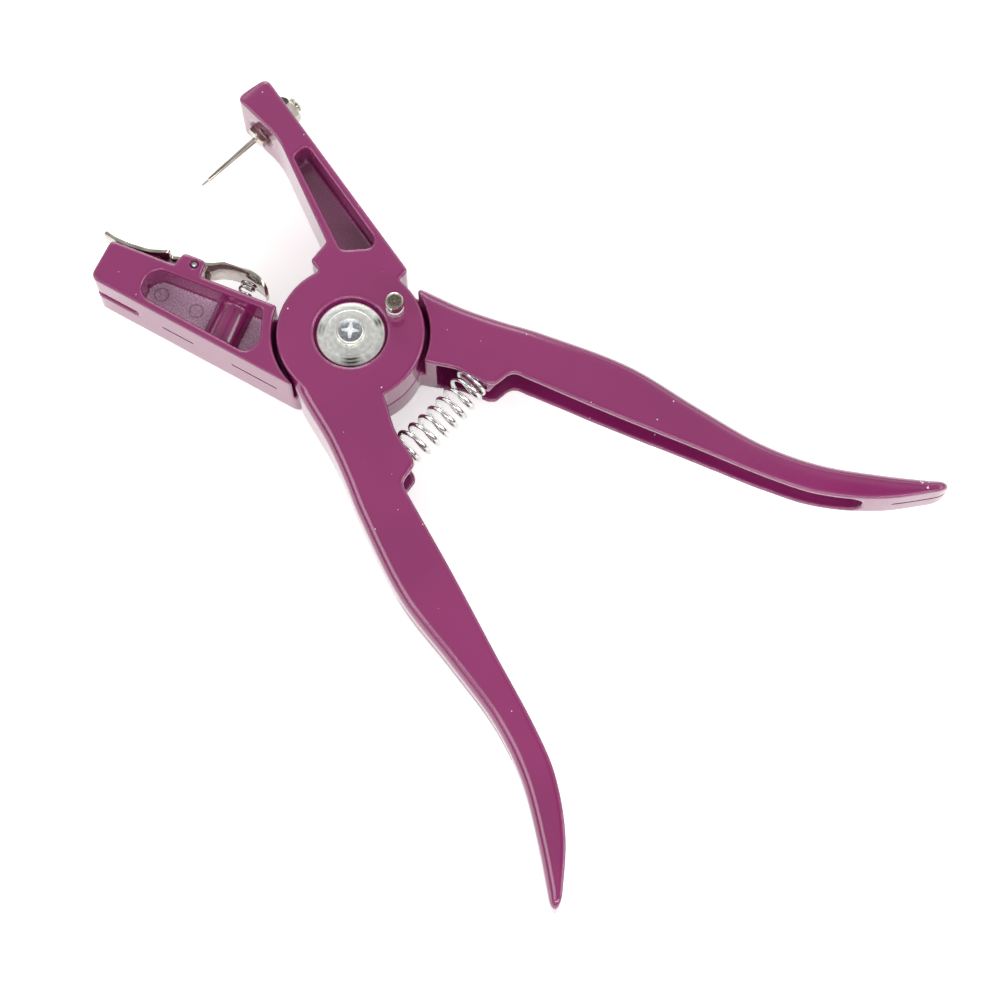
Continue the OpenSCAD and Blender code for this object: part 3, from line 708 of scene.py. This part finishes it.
# Its bevel was turned, and is coloured darker in three places along the tool marks
patched_plate = metal("zinc plate darkened in patches", "f4f5ee", "fefefa", 0.36, 1.1)
plate = next(node for node in patched_plate.node_tree.nodes if node.type == "BSDF_PRINCIPLED")
plain = plate.inputs["Base Color"].links[0].from_socket
spot = add_node(patched_plate, "TexCoord").outputs["Object"]
marks = add_node(patched_plate, "TexWave", {"Vector": spot, "Scale": 0.3 / MM, "Distortion": 1.5, "Detail": 2.0},
                 wave_type="RINGS", rings_direction="Z")
across = add_node(patched_plate, "VectorMath", {0: spot, 1: (1.0, 1.0, 0.0)}, operation="MULTIPLY")
reach_out = add_node(patched_plate, "VectorMath", {0: across.outputs[0]}, operation="LENGTH").outputs["Value"]
on_bevel = add_node(patched_plate, "MapRange", {"Value": reach_out, "From Min": 7.0 * MM, "From Max": 7.7 * MM,
                                          "To Min": 0.25, "To Max": 1.0})
dark_patch = None
for x, y, reach, depth in DARK_PATCHES:
    near = add_node(patched_plate, "VectorMath", {0: spot, 1: (x * MM, y * MM, HEAD_FOOT * MM)},
                    operation="DISTANCE")
    fade = add_node(patched_plate, "MapRange", {"Value": near.outputs["Value"], "From Min": 0.3 * reach * MM,
                                          "From Max": reach * MM, "To Min": depth, "To Max": 0.0})
    dark_patch = fade.outputs["Result"] if dark_patch is None else add_node(
        patched_plate, "Math", {0: dark_patch, 1: fade.outputs["Result"]}, operation="MAXIMUM").outputs[0]
streaks = add_node(patched_plate, "MapRange", {"Value": marks.outputs["Fac"], "To Min": 0.45, "To Max": 1.0})
edge_streaks = add_node(patched_plate, "Math", {0: streaks.outputs["Result"], 1: on_bevel.outputs["Result"]},
                        operation="MULTIPLY")
darkening = add_node(patched_plate, "Math", {0: dark_patch, 1: edge_streaks.outputs[0]}, operation="MULTIPLY")
darkened_plate = add_node(patched_plate, "Mix", {"Factor": darkening.outputs[0], "A": plain, "B": hex_colour("2e322e")},
                  data_type="RGBA")
patched_plate.node_tree.links.new(darkened_plate.outputs["Result"], plate.inputs["Base Color"])
finished(washer, "pivot_washer_stamped", "rear", "pivot_washer", patched_plate)

HEAD_H = 2.4
head = lathe([(0, -11), (SCREW_R, -11), (SCREW_R, 0), (4.1, 0), (4.1, 1.3), (3.95, 1.7), (3.65, 2.02), (3.5, 2.1),
              (3.3, 2.14), (2.8, 2.28), (2.0, HEAD_H - 0.03), (0, HEAD_H)])
cross = []
for k in range(2):
    arm_of_cross = loft([[(x * w, y * w, z) for x, y in ((-2.6, -0.35), (-1.0, -0.7), (1.0, -0.7), (2.6, -0.35),
                                                         (2.6, 0.35), (1.0, 0.7), (-1.0, 0.7), (-2.6, 0.35))]
                         for z, w in ((1.5, 0.5), (HEAD_H - 0.4, 0.9), (HEAD_H + 0.3, 1.0))])
    cross.append(placed(arm_of_cross, turn(math.radians(90 * k + 38))))
combine(head, cross, "DIFFERENCE")
screw = placed(smooth_faces(head, 30), shift(0, 0, HEAD_FOOT))
# The head is a duller zinc than the washer. Its cross is coloured near white inside, a painted reflection of
# the light that its walls catch.
dull_zinc = metal("dull zinc on the head", "9fa3a8", "c3c6ca", 0.34, 0.7)
# Painted reflection: a near-white matt fill that stands for the light caught inside the cross
cross_reflection, cross_reflection_out = new_material("painted reflection in the cross")
cross_reflection_place = add_node(cross_reflection, "TexCoord").outputs["Object"]
cross_reflection_grain = add_node(cross_reflection, "TexNoise", {"Vector": cross_reflection_place, "Scale": 1 / (0.4 * MM), "Detail": 2.0})
cross_reflection_tone = ramp(cross_reflection, cross_reflection_grain.outputs["Fac"], [(0.3, hex_colour("eef0f2")), (0.7, hex_colour("ffffff"))])
cross_reflection_shader = add_node(cross_reflection, "BsdfPrincipled", {"Base Color": cross_reflection_tone.outputs["Color"], "Roughness": 0.5})
cross_reflection.node_tree.links.new(cross_reflection_shader.outputs[0], cross_reflection_out.inputs["Surface"])
finished(screw, "pivot_screw_pan_head", "rear", "pivot_screw", zinc)
screw.data.materials.append(dull_zinc)
screw.data.materials.append(cross_reflection)
DULL, PAINTED_REFLECTION = 1, 2
for face in screw.data.polygons:
    reach, rise = math.hypot(face.center.x, face.center.y) / MM, face.center.z / MM - HEAD_FOOT
    # Faces inside the cross take the painted reflection
    if reach < 2.7 and 0.5 < rise < HEAD_H - 0.12:
        face.material_index = PAINTED_REFLECTION
    elif rise > 2.1:
        face.material_index = DULL

# Applicator pin: needle, hexagon and threaded shank turned in one from steel and nickelled. The hexagon sits in the
# arm's counterbore and a plain hexagon nut holds the thread behind the arm. Bright nickel plate is warm in tone and
# mirrors the room almost sharply.
nickel = metal("bright nickel plate", "b9b2a6", "e2dcd1", 0.12, 4.0)
NEEDLE_R = 0.95
NEEDLE_L = 21.8
HEX_T = 3.4
NUT_T = 3.4
SHANK_END = COUNTERBORE_D - PIN_SEAT_T - NUT_T - 2


def hexagon(across, thickness, chamfer=0.5):
    """Hexagon of a width across its flats, with its corners turned off at both ends."""
    r = across / math.sqrt(3)
    corners = [(r * math.cos(math.radians(60 * k + 30)), r * math.sin(math.radians(60 * k + 30))) for k in range(6)]
    turned = lathe([(0, 0), (across / 2 - 0.05, 0), (r, chamfer), (r, thickness - chamfer),
                    (across / 2 - 0.05, thickness), (0, thickness)], 48)
    return combine(prism(corners, 0, thickness), [turned], "INTERSECT")


def thread(r, low, high, pitch=0.8):
    """Turned profile of a thread's crests and roots between two heights."""
    count = round((high - low) / pitch)
    profile = []
    for k in range(count):
        z = low + k * pitch
        profile += [(r - 0.3, z + 0.08), (r, z + pitch * 0.45), (r, z + pitch * 0.6), (r - 0.3, z + pitch)]
    return profile


needle = lathe([(0, SHANK_END), (1.9, SHANK_END)] + thread(2.5, SHANK_END + 0.2, SHANK_END + 5)
               + [(2.5, SHANK_END + 5.2), (2.5, 0), (2, 0), (2, HEX_T), (1.5, HEX_T + 0.25),
                  (NEEDLE_R + 0.1, HEX_T + 0.7), (NEEDLE_R, HEX_T + 1.1), (0.62, HEX_T + NEEDLE_L - 3),
                  (0.5, HEX_T + NEEDLE_L - 2.75), (0.4, HEX_T + NEEDLE_L - 2.6), (0.32, HEX_T + NEEDLE_L - 0.7),
                  (0.2, HEX_T + NEEDLE_L - 0.2), (0, HEX_T + NEEDLE_L)], 48)
combine(needle, [hexagon(6, HEX_T)], "UNION")
combine(needle, [block(-0.5, 0.5, -4, 4, SHANK_END - 1, SHANK_END + 1)], "DIFFERENCE")
placed(smooth_faces(needle, 30), PIN_AXIS, shift(0, 0, -COUNTERBORE_D))
finished(needle, "applicator_pin_turned", "front", "applicator_pin", nickel)

nut = hexagon(8, NUT_T, 0.7)
combine(nut, [rod(2.5, -1, NUT_T + 1, 48)], "DIFFERENCE")
placed(smooth_faces(nut, 30), PIN_AXIS, shift(0, 0, -PIN_SEAT_T - NUT_T))
finished(nut, "pin_nut_hexagon", "front", "pin_nut", nickel)

# Hub stud: a grooved post turned from steel and nickelled, screwed into the front lever beside the washer. Its foot
# is knurled for the fingers, its top is faced with a shallow recess, and the lathe's centre left a dimple in it.
STUD_R = 2.6
STUD_H = 7.3
FOOT_H = 3.0
stud = lathe([(0, -6.5), (1.9, -6.5), (1.9, FOOT_H - 0.5), (STUD_R - 0.8, FOOT_H - 0.4), (STUD_R - 0.8, 4.1),
              (STUD_R - 0.1, 4.2), (STUD_R, 4.3), (STUD_R, STUD_H - 0.4),
              (STUD_R - 0.12, STUD_H - 0.12), (STUD_R - 0.4, STUD_H), (1.95, STUD_H), (1.85, STUD_H - 0.1),
              (1.8, STUD_H - 0.4), (0.3, STUD_H - 0.4), (0.15, STUD_H - 0.6), (0, STUD_H - 0.65)], 72)
foot = [[((STUD_R - dip) * math.cos(a), (STUD_R - dip) * math.sin(a), z) for a, dip in ridge_line]
        for ridge_line, z in [([(math.pi * k / 24, (0.16 if k % 2 else 0.0) + inset) for k in range(48)], z)
                              for z, inset in ((0, 0.1), (0.15, 0), (FOOT_H - 0.25, 0), (FOOT_H, 0.25))]]
combine(stud, [loft(foot)], "UNION")
placed(smooth_faces(stud, 30), shift(STUD_X, STUD_Y, LEVER_T))
finished(stud, "hub_stud_grooved", "front", "hub_stud", nickel)
# The faced recess in its top is dull, and the knurled foot is matt and pale
faced = metal("dull turned face", "6f685e", "948c80", 0.3, 0.5)
knurled = metal("matt knurled nickel", "e4e2dc", "fafaf6", 0.5, 0.8)
stud.data.materials.append(faced)
stud.data.materials.append(knurled)
FACED, KNURLED = 1, 2
for face in stud.data.polygons:
    reach = math.hypot(face.center.x - STUD_X * MM, face.center.y - STUD_Y * MM) / MM
    if reach > 1.95 and face.center.z < (LEVER_T + FOOT_H + 0.01) * MM:
        face.material_index = KNURLED
    elif 0.3 < reach < 1.8 and face.normal.z > 0.9:
        face.material_index = FACED

# Handle spring: hard-drawn steel wire coiled open, with closed end turns over the stubs in both handles. It bows
# outward a little in the middle, as the handles press its ends at a slant. Its zinc plate is pale and smooth, and
# shows sharp bright and dark bands along each turn.
wire = metal("zinc-plated spring wire", "d2d3d1", "fcfcf8", 0.16, 1.5)
SPRING_TURNS = 10


def coil(r, wire_r, height, turns, sides=12, per_turn=44, bow=0.0, flare=0.0):
    """Round wire wound along Z with closed end turns, bowed sideways in the middle or flared toward the top."""
    dead = 1.2
    close = 2 * wire_r / height * 0.9

    def rise(a):
        if a < dead:
            return a * close
        if a > turns - dead:
            return 1 - (turns - a) * close
        return dead * close + (a - dead) / (turns - 2 * dead) * (1 - 2 * dead * close)

    rings = []
    for i in range(turns * per_turn + 1):
        a = 2 * math.pi * i / per_turn
        share = rise(i / per_turn)
        z = wire_r + (height - 2 * wire_r) * share
        side = bow * math.sin(math.pi * share)
        wide = r + flare * max(0.0, 2.5 * share - 1.5)
        w = wire_r * (0.75 if i in (0, turns * per_turn) else 1.0)
        rings.append([((wide + w * math.cos(b)) * math.cos(a) - side, (wide + w * math.cos(b)) * math.sin(a),
                       z - w * math.sin(b)) for b in [2 * math.pi * j / sides for j in range(sides)]])
    return smooth_faces(loft(rings), 50)


handle_spring = placed(coil(SPRING_R - WIRE_R, WIRE_R, 2 * SPRING_HALF, SPRING_TURNS, bow=1.7),
                       shift(-SPRING_SEAT_X, -SPRING_HALF, LEVER_T - HANDLE_T / 2), upright)
handle_spring.name = "handle_spring_coil"
handle_spring.data.materials.append(wire)
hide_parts("handle_spring")
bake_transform(handle_spring)

# Clip: one strip of spring steel, blanked, bent and nickelled. A fork lies on the tag's seat, two ears turn on the
# hinge pin, and the strip arches over the clip's spring to a round thumb end.
CLIP_T = 1.2
CLIP_W = 11.0
FORK_W = 20.0
FORK_GAP = 8.0
clip_bends = [(-0.05, 0.21), (0.019, 0.035), (0.1145, 0.005), (0.229, 0.16), (0.3245, 0.58), (0.391, 0.86),
              (0.483, 0.93), (0.54, 1.16), (0.597, 1.535), (0.674, 1.7), (0.75, 1.675), (0.819, 1.49),
              (0.868, 1.16), (0.887, 0.84)]
clip_curve = sorted((-share, -CLIP_T / 2 - rise * LUG_H) for share, rise in clip_bends)
last_share = clip_curve[0][0]
first_share = clip_curve[-1][0]
CLIP_STEPS = 160
shares = [last_share + (first_share - last_share) * k / CLIP_STEPS for k in range(CLIP_STEPS + 1)]
middle_line = [Vector((from_end(-s), smooth(clip_curve, s))) for s in shares]
CLIP_SHEET = 1.0
upper, lower = [], []
for i, point in enumerate(middle_line):
    ahead = middle_line[min(i + 1, CLIP_STEPS)] - middle_line[max(i - 1, 0)]
    side = Vector((-ahead.y, ahead.x)).normalized() * CLIP_SHEET / 2
    upper.append(point + side)
    lower.append(point - side)
clip = prism(upper + lower[::-1], MID_Z - FORK_W / 2, MID_Z + FORK_W / 2)
NECK_X = from_end(0.3245)
THUMB_X = from_end(0.893)
plan = rounded([(JAW_LEN + 5, MID_Z + FORK_W / 2 + 0.05, 2.5), (NECK_X, MID_Z + FORK_W / 2 + 0.05, 1.2),
                (NECK_X, MID_Z + CLIP_W / 2, 0.8), (THUMB_X, MID_Z + CLIP_W / 2, 5.3),
                (THUMB_X, MID_Z - CLIP_W / 2, 5.3), (NECK_X, MID_Z - CLIP_W / 2, 0.8),
                (NECK_X, MID_Z - FORK_W / 2 - 0.05, 1.2), (JAW_LEN + 5, MID_Z - FORK_W / 2 - 0.05, 2.5),
                (JAW_LEN + 5, MID_Z - FORK_GAP / 2, 0), (SLOT_FROM, MID_Z - FORK_GAP / 2, 3.9),
                (SLOT_FROM, MID_Z + FORK_GAP / 2, 3.9), (JAW_LEN + 5, MID_Z + FORK_GAP / 2, 0)])
blank = loft([[(x, y, z) for x, z in plan] for y in (-14, 4)])
combine(clip, [blank], "INTERSECT")
EAR_R = 0.51 * LUG_H
NECK_Y = -CLIP_T / 2 - 0.93 * LUG_H
ear = [(HINGE_X + EAR_R * math.cos(math.radians(a)), HINGE_Y + EAR_R * math.sin(math.radians(a)))
       for a in range(-20, 201, 10)] + [(HINGE_X - 1.1 * EAR_R, NECK_Y), (HINGE_X + 1.36 * EAR_R, NECK_Y)]
combine(clip, [prism(ear, MID_Z - CLIP_W / 2 + 0.02, MID_Z - CLIP_W / 2 + CLIP_T),
               prism(ear, MID_Z + CLIP_W / 2 - CLIP_T, MID_Z + CLIP_W / 2 - 0.02)], "UNION")
CLIP_HOLE_R = 0.95
combine(clip, [placed(rod(CLIP_HOLE_R, -1, LEVER_T + 1, 48), shift(HINGE_X, HINGE_Y, 0))], "DIFFERENCE")
placed(bevelled(clip, 0.14, 2, 40), JAW)
finished(clip, "clip_bent_strip", "clip", "clip", nickel)

# Clip hinge pin: a short length of drawn steel rod, zinc-plated and pressed through the jaw's two lugs. Its ends
# are chamfered and stand just under the lugs' faces, and the plate on them is greyer than the washer's.
hinge = lathe([(0, 0.35), (0.7, 0.3), (HINGE_R, 0.5), (HINGE_R, LEVER_T - 0.5), (0.72, LEVER_T - 0.3),
               (0.35, LEVER_T - 0.33), (0.12, LEVER_T - 0.5), (0, LEVER_T - 0.5)], 48)
placed(smooth_faces(hinge, 40), JAW, shift(HINGE_X, HINGE_Y, 0))
drawn = metal("drawn zinc-plated steel", "a9abab", "cdcfce", 0.3, 0.8)
finished(hinge, "clip_hinge_pin_drawn", "rear", "clip_hinge_pin", drawn)

# Clip spring: a small coil of thin wire between the bottom of the jaw's socket and the clip's thumb end, flared
# where it bears on the strip
CLIP_SPRING_TOP = 6.6
CLIP_SPRING_R = 2.15
CLIP_SPRING_TURNS = 9
CLIP_WIRE_R = 0.42
clip_spring = placed(coil(CLIP_SPRING_R - CLIP_WIRE_R, CLIP_WIRE_R, SOCKET_D + CLIP_SPRING_TOP, CLIP_SPRING_TURNS,
                          10, 32, flare=0.5), JAW, shift(SPRING_BOSS_X, SOCKET_D, MID_Z), turn(math.pi / 2, "X"))
clip_spring.name = "clip_spring_coil"
clip_spring.data.materials.append(wire)
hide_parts("clip_spring")
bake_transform(clip_spring)

# Table top: a pale paper sweep that the camera and the tool's bright sides see washed out to white, but for the
# nearest shadows. It isn't part of the tool.
FLOOR_Z = -0.0002
floor = mesh_object("floor", [(-3000, -3000, 0), (3000, -3000, 0), (3000, 3000, 0), (-3000, 3000, 0)],
                    [[0, 1, 2, 3]])
floor.location.z = FLOOR_Z
sweep, sweep_out = new_material("white paper sweep")
paper = add_node(sweep, "BsdfPrincipled", {"Base Color": hex_colour("f6f5f3"), "Roughness": 0.9})
rays = add_node(sweep, "LightPath")
camera_glow = add_node(sweep, "Math", {0: rays.outputs["Is Camera Ray"], 1: 0.5}, operation="MULTIPLY")
glossy_glow = add_node(sweep, "Math", {0: rays.outputs["Is Glossy Ray"], 1: 0.42}, operation="MULTIPLY")
glow_level = add_node(sweep, "Math", {0: camera_glow.outputs[0], 1: glossy_glow.outputs[0]}, operation="ADD")
glow = add_node(sweep, "Emission", {"Color": grey(1.0), "Strength": glow_level.outputs[0]})
washed = add_node(sweep, "AddShader", {0: paper.outputs[0], 1: glow.outputs[0]})
sweep.node_tree.links.new(washed.outputs[0], sweep_out.inputs["Surface"])
floor.data.materials.append(sweep)

# Light tent: dark along its foot, bright at mid height and dimmer overhead, with a few dark gaps between its panels
# that show in the bright metal. Soft boxes all round, none where the flat tops would mirror them to the camera.
world = bpy.data.worlds.new("light tent")
bpy.context.scene.world = world
world.use_nodes = True
sky = world.node_tree.nodes["Background"]
direction = add_node(world, "TexCoord").outputs["Generated"]
rise = add_node(world, "SeparateXYZ", {"Vector": direction}).outputs["Z"]
tent = ramp(world, rise, [(0.0, grey(0.06)), (0.2, grey(0.1)), (0.28, grey(1.0)), (0.55, grey(1.0)),
                         (0.72, grey(0.5)), (0.85, grey(0.32)), (1.0, grey(0.3))])
panels = add_node(world, "TexNoise", {"Vector": direction, "Scale": 2.6, "Detail": 0.0})
gaps = ramp(world, panels.outputs["Fac"], [(0.36, grey(0.25)), (0.42, grey(1.0))])
lit = add_node(world, "Mix", {"Factor": 1.0, "A": tent.outputs["Color"], "B": gaps.outputs["Color"]},
               data_type="RGBA", blend_type="MULTIPLY")
world.node_tree.links.new(lit.outputs["Result"], sky.inputs["Color"])
sky.inputs["Strength"].default_value = 1.43
bpy.context.scene.view_settings.view_transform = "Standard"


def soft_box(name, place, width, height, power):
    """Soft light turned to the tool's middle."""
    lamp = bpy.data.lights.new(name, "AREA")
    lamp.shape = "RECTANGLE"
    lamp.size = width
    lamp.size_y = height
    lamp.energy = power
    made = bpy.data.objects.new(name, lamp)
    made.location = place
    made.rotation_euler = (aim - Vector(place)).to_track_quat("-Z", "Y").to_euler()
    bpy.context.scene.collection.objects.link(made)


soft_box("left box", (0.75, 0.95, 0.95), 0.7, 0.7, 4.0)
soft_box("right box", (-0.95, -0.85, 0.95), 0.7, 0.7, 4.0)
soft_box("back box", (0.75, -0.75, 0.7), 0.6, 0.6, 3.0)
# A bright strip over the camera draws the thin white lines along the near edges
soft_box("front strip", (-0.76, 0.75, 0.82), 1.3, 0.16, 6.5)
